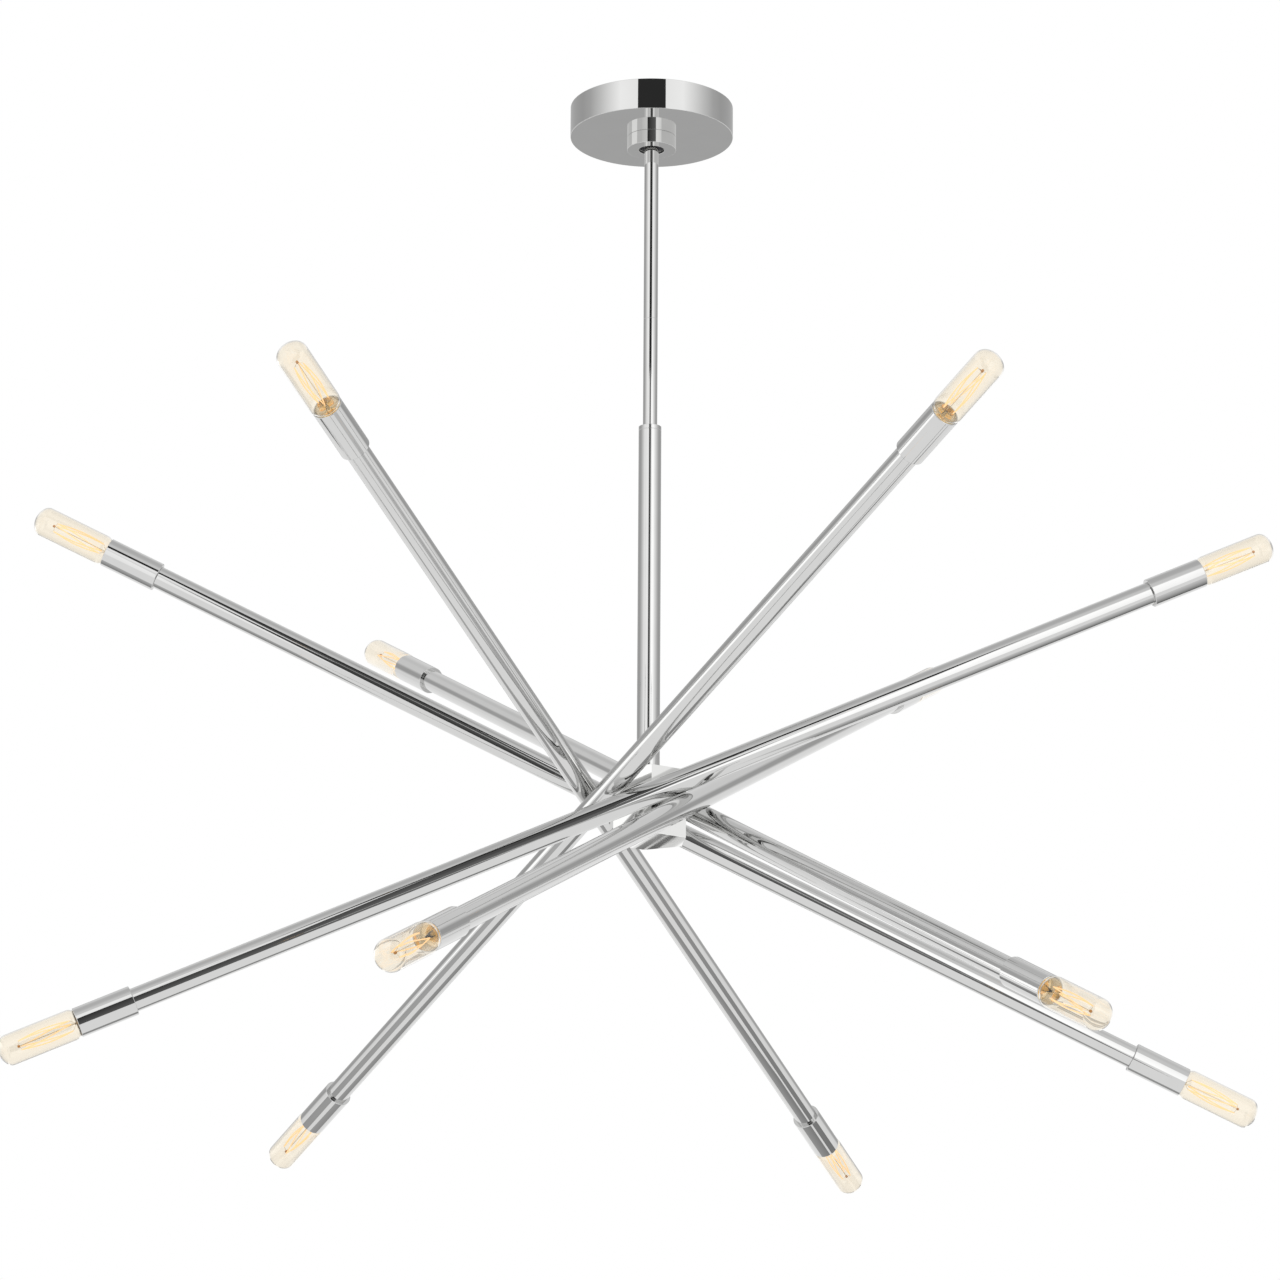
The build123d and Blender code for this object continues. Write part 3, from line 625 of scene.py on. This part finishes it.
cards = {
    # middle, width and height in metres, the side that faces the light, and the level at both edges
    "darkTop": ((0, -1.3, 0.45), 0.90, 0.50, (0, 1, 0), 0.035, 0.035),
    "darkHigh": ((0, -1.3, -0.08), 0.44, 0.56, (0, 1, 0), 0.10, 0.10),
    "darkLow": ((0, -1.3, -0.89), 0.92, 1.06, (0, 1, 0), 0.04, 0.22),
    "brightRight": ((0.94, -1.3, -0.35), 0.90, 1.3, (0, 1, 0), 1.65, 1.4),
    "brightLeft": ((-0.94, -1.3, -0.35), 0.90, 1.3, (0, 1, 0), 1.1, 1.3),
    "boxLeft": ((-1.6, 0.0, -0.65), 1.0, 0.5, (1, 0, 0), 1.6, 1.6),
    "greyRight": ((1.4, 0.3, -1.8), 1.9, 1.1, (-1, 0, 0), 0.85, 0.08),
    "greyLeft": ((-1.4, 0.6, -1.7), 1.4, 1.2, (1, 0, 0), 0.62, 0.25),
    "greyBehind": ((0, 1.5, -0.62), 0.5, 0.26, (0, -1, 0), 0.52, 0.52),
    "greyUnder": ((0, 1.25, -2.4), 2.0, 1.1, (0, 0, 1), 0.52, 0.30),
}

hubMiddle = (0, 0, -0.6)
softLights = {
    # place and size in metres, and power in watts; both face the middle of the hub
    "softLeft": ((-2.2, -2.4, 0.6), (1.4, 1.8), 30),
    "softRight": ((2.4, -1.6, 0.3), (1.2, 1.8), 20),
}


def addRamp(nodes, levels, low, high):
    # a ramp of brightness through (place, level) stops, where place runs from low to high
    ramp = nodes.new("ShaderNodeValToRGB")
    stops = ramp.color_ramp.elements
    for end in (0, -1):
        level = levels[end][1]
        stops[end].color = (level, level, level, 1)
    for place, level in levels[1:-1]:
        stops.new((place - low) / (high - low)).color = (level, level, level, 1)
    return ramp


def mirrorShare(nodes, links, path):
    # 1 for a ray that a surface mirrored and 0 for one that came through glass
    share = nodes.new("ShaderNodeMath")
    share.operation = "SUBTRACT"
    share.use_clamp = True
    links.new(path.outputs["Is Glossy Ray"], share.inputs[0])
    links.new(path.outputs["Is Transmission Ray"], share.inputs[1])
    return share.outputs[0]


def seenDirectly(nodes, links, path):
    # 1 for a ray from the camera or one that came through glass
    seen = nodes.new("ShaderNodeMath")
    seen.operation = "MAXIMUM"
    links.new(path.outputs["Is Camera Ray"], seen.inputs[0])
    links.new(path.outputs["Is Transmission Ray"], seen.inputs[1])
    return seen.outputs[0]


def makeWorld():
    world = bpy.data.worlds.new("room")
    bpy.context.scene.world = world
    world.use_nodes = True
    nodes, links = world.node_tree.nodes, world.node_tree.links
    background = nodes["Background"]
    background.inputs["Color"].default_value = (1, 1, 1, 1)
    path = nodes.new("ShaderNodeLightPath")
    place = nodes.new("ShaderNodeTexCoord")
    split = nodes.new("ShaderNodeSeparateXYZ")
    height = nodes.new("ShaderNodeMapRange")
    height.inputs["From Min"].default_value = -1
    links.new(place.outputs["Generated"], split.inputs[0])
    links.new(split.outputs["Z"], height.inputs["Value"])
    front = nodes.new("ShaderNodeMath")
    front.operation = "MULTIPLY"
    front.inputs[1].default_value = -1
    links.new(split.outputs["Y"], front.inputs[0])
    turn = nodes.new("ShaderNodeMath")
    turn.operation = "ARCTAN2"
    links.new(split.outputs["X"], turn.inputs[0])
    links.new(front.outputs[0], turn.inputs[1])
    side = nodes.new("ShaderNodeMath")
    side.operation = "ABSOLUTE"
    links.new(turn.outputs[0], side.inputs[0])
    around = nodes.new("ShaderNodeMapRange")
    around.inputs["From Max"].default_value = math.pi
    links.new(side.outputs[0], around.inputs["Value"])
    byHeight = addRamp(nodes, room["skyShine"], -1, 1)
    bySide = addRamp(nodes, room["sideShine"], 0, 1)
    share = addRamp(nodes, room["sideShare"], -1, 1)
    links.new(height.outputs["Result"], byHeight.inputs["Fac"])
    links.new(height.outputs["Result"], share.inputs["Fac"])
    links.new(around.outputs["Result"], bySide.inputs["Fac"])
    shine = nodes.new("ShaderNodeMix")
    links.new(share.outputs["Color"], shine.inputs["Factor"])
    links.new(byHeight.outputs["Color"], shine.inputs["A"])
    links.new(bySide.outputs["Color"], shine.inputs["B"])
    plain = nodes.new("ShaderNodeMapRange")
    plain.inputs["To Min"].default_value = room["skyDiffuse"]
    plain.inputs["To Max"].default_value = 1
    links.new(seenDirectly(nodes, links, path), plain.inputs["Value"])
    mix = nodes.new("ShaderNodeMix")
    links.new(mirrorShare(nodes, links, path), mix.inputs["Factor"])
    links.new(plain.outputs["Result"], mix.inputs["A"])
    links.new(shine.outputs["Result"], mix.inputs["B"])
    links.new(mix.outputs["Result"], background.inputs["Strength"])


def makeFloor():
    form = bmesh.new()
    bmesh.ops.create_grid(
        form, x_segments=1, y_segments=1, size=room["floorSize"],
        matrix=Matrix.Translation((0, 0, room["floorHeight"])),
    )
    mesh = bpy.data.meshes.new("floor")
    form.to_mesh(mesh)
    form.free()
    floor = bpy.data.objects.new("floor", mesh)
    bpy.context.scene.collection.objects.link(floor)
    material, nodes, links, shader = newMaterial("floorPaint")
    shader.inputs["Base Color"].default_value = (*room["floorColor"], 1)
    shader.inputs["Roughness"].default_value = 0.9
    # to the camera the floor is nearly white but keeps its shadow
    path = nodes.new("ShaderNodeLightPath")
    pale = nodes.new("ShaderNodeEmission")
    shine = nodes.new("ShaderNodeEmission")
    shine.inputs["Strength"].default_value = room["floorShine"]
    share = nodes.new("ShaderNodeMath")
    share.operation = "MULTIPLY"
    share.inputs[1].default_value = room["floorPale"]
    links.new(seenDirectly(nodes, links, path), share.inputs[0])
    paled = nodes.new("ShaderNodeMixShader")
    links.new(share.outputs[0], paled.inputs["Fac"])
    links.new(shader.outputs["BSDF"], paled.inputs[1])
    links.new(pale.outputs["Emission"], paled.inputs[2])
    # in the metal it is as bright as the room
    mix = nodes.new("ShaderNodeMixShader")
    links.new(mirrorShare(nodes, links, path), mix.inputs["Fac"])
    links.new(paled.outputs["Shader"], mix.inputs[1])
    links.new(shine.outputs["Emission"], mix.inputs[2])
    # from below the floor is clear, so that it never hides the chandelier
    geometry = nodes.new("ShaderNodeNewGeometry")
    clear = nodes.new("ShaderNodeBsdfTransparent")
    oneSided = nodes.new("ShaderNodeMixShader")
    links.new(geometry.outputs["Backfacing"], oneSided.inputs["Fac"])
    links.new(mix.outputs["Shader"], oneSided.inputs[1])
    links.new(clear.outputs["BSDF"], oneSided.inputs[2])
    links.new(oneSided.outputs["Shader"], nodes["Material Output"].inputs["Surface"])
    mesh.materials.append(material)


def makeCard(name, middle, width, height, facing, first, second):
    # only the metal sees a card; its level runs from the first edge to the second over its width
    form = bmesh.new()
    turn = Vector(facing).to_track_quat("Z", "Y").to_matrix().to_4x4()
    bmesh.ops.create_grid(form, x_segments=1, y_segments=1, size=0.5)
    sideways = facing[0] != 0
    size = (1, width, height) if sideways else (width, 1, height) if facing[1] else (width, height, 1)
    stretch = Matrix.Diagonal((*size, 1))
    bmesh.ops.transform(form, matrix=Matrix.Translation(middle) @ stretch @ turn, verts=form.verts)
    mesh = bpy.data.meshes.new(name)
    form.to_mesh(mesh)
    form.free()
    card = bpy.data.objects.new(name, mesh)
    bpy.context.scene.collection.objects.link(card)
    material, nodes, links, shader = newMaterial(name + "Card")
    nodes.remove(shader)
    place = nodes.new("ShaderNodeTexCoord")
    split = nodes.new("ShaderNodeSeparateXYZ")
    level = nodes.new("ShaderNodeMapRange")
    start = middle[1 if sideways else 0]
    level.inputs["From Min"].default_value = start - width / 2
    level.inputs["From Max"].default_value = start + width / 2
    level.inputs["To Min"].default_value = first
    level.inputs["To Max"].default_value = second
    shine = nodes.new("ShaderNodeEmission")
    links.new(place.outputs["Object"], split.inputs[0])
    links.new(split.outputs["Y" if sideways else "X"], level.inputs["Value"])
    links.new(level.outputs["Result"], shine.inputs["Strength"])
    links.new(shine.outputs["Emission"], nodes["Material Output"].inputs["Surface"])
    mesh.materials.append(material)
    for ray in ("camera", "diffuse", "transmission", "shadow", "volume_scatter"):
        setattr(card, "visible_" + ray, False)


def addAreaLight(name, place, size, power):
    light = bpy.data.lights.new(name, "AREA")
    light.shape = "RECTANGLE"
    light.size, light.size_y = size
    light.energy = power
    panel = bpy.data.objects.new(name, light)
    panel.location = place
    panel.rotation_euler = (Vector(hubMiddle) - Vector(place)).to_track_quat("-Z", "Y").to_euler()
    panel.visible_glossy = False
    bpy.context.scene.collection.objects.link(panel)


makeWorld()
makeFloor()
for name, values in cards.items():
    makeCard(name, *values)
for name, values in softLights.items():
    addAreaLight(name, *values)
print("room and lights set")


# camera: fitted to the ends of the twelve tubes in the photograph
view = {
    "place": (-0.00094, -3.5939, -1.4234), "pitch": 14.43, "roll": 0.32, "lens": 125.84,
    "sensor": 36, "shiftX": -0.0059, "shiftY": 0.0251, "farthest": 100,
}
cameraData = bpy.data.cameras.new("photoCamera")
cameraData.sensor_width = view["sensor"]
cameraData.lens = view["lens"]
cameraData.shift_x = view["shiftX"]
cameraData.shift_y = view["shiftY"]
cameraData.clip_end = view["farthest"]
camera = bpy.data.objects.new("photoCamera", cameraData)
camera.matrix_world = (
    Matrix.Translation(view["place"])
    @ Matrix.Rotation(math.radians(90 + view["pitch"]), 4, "X")
    @ Matrix.Rotation(math.radians(view["roll"]), 4, "Z")
)
bpy.context.scene.collection.objects.link(camera)
bpy.context.scene.camera = camera
bpy.context.scene.view_settings.view_transform = "Standard"
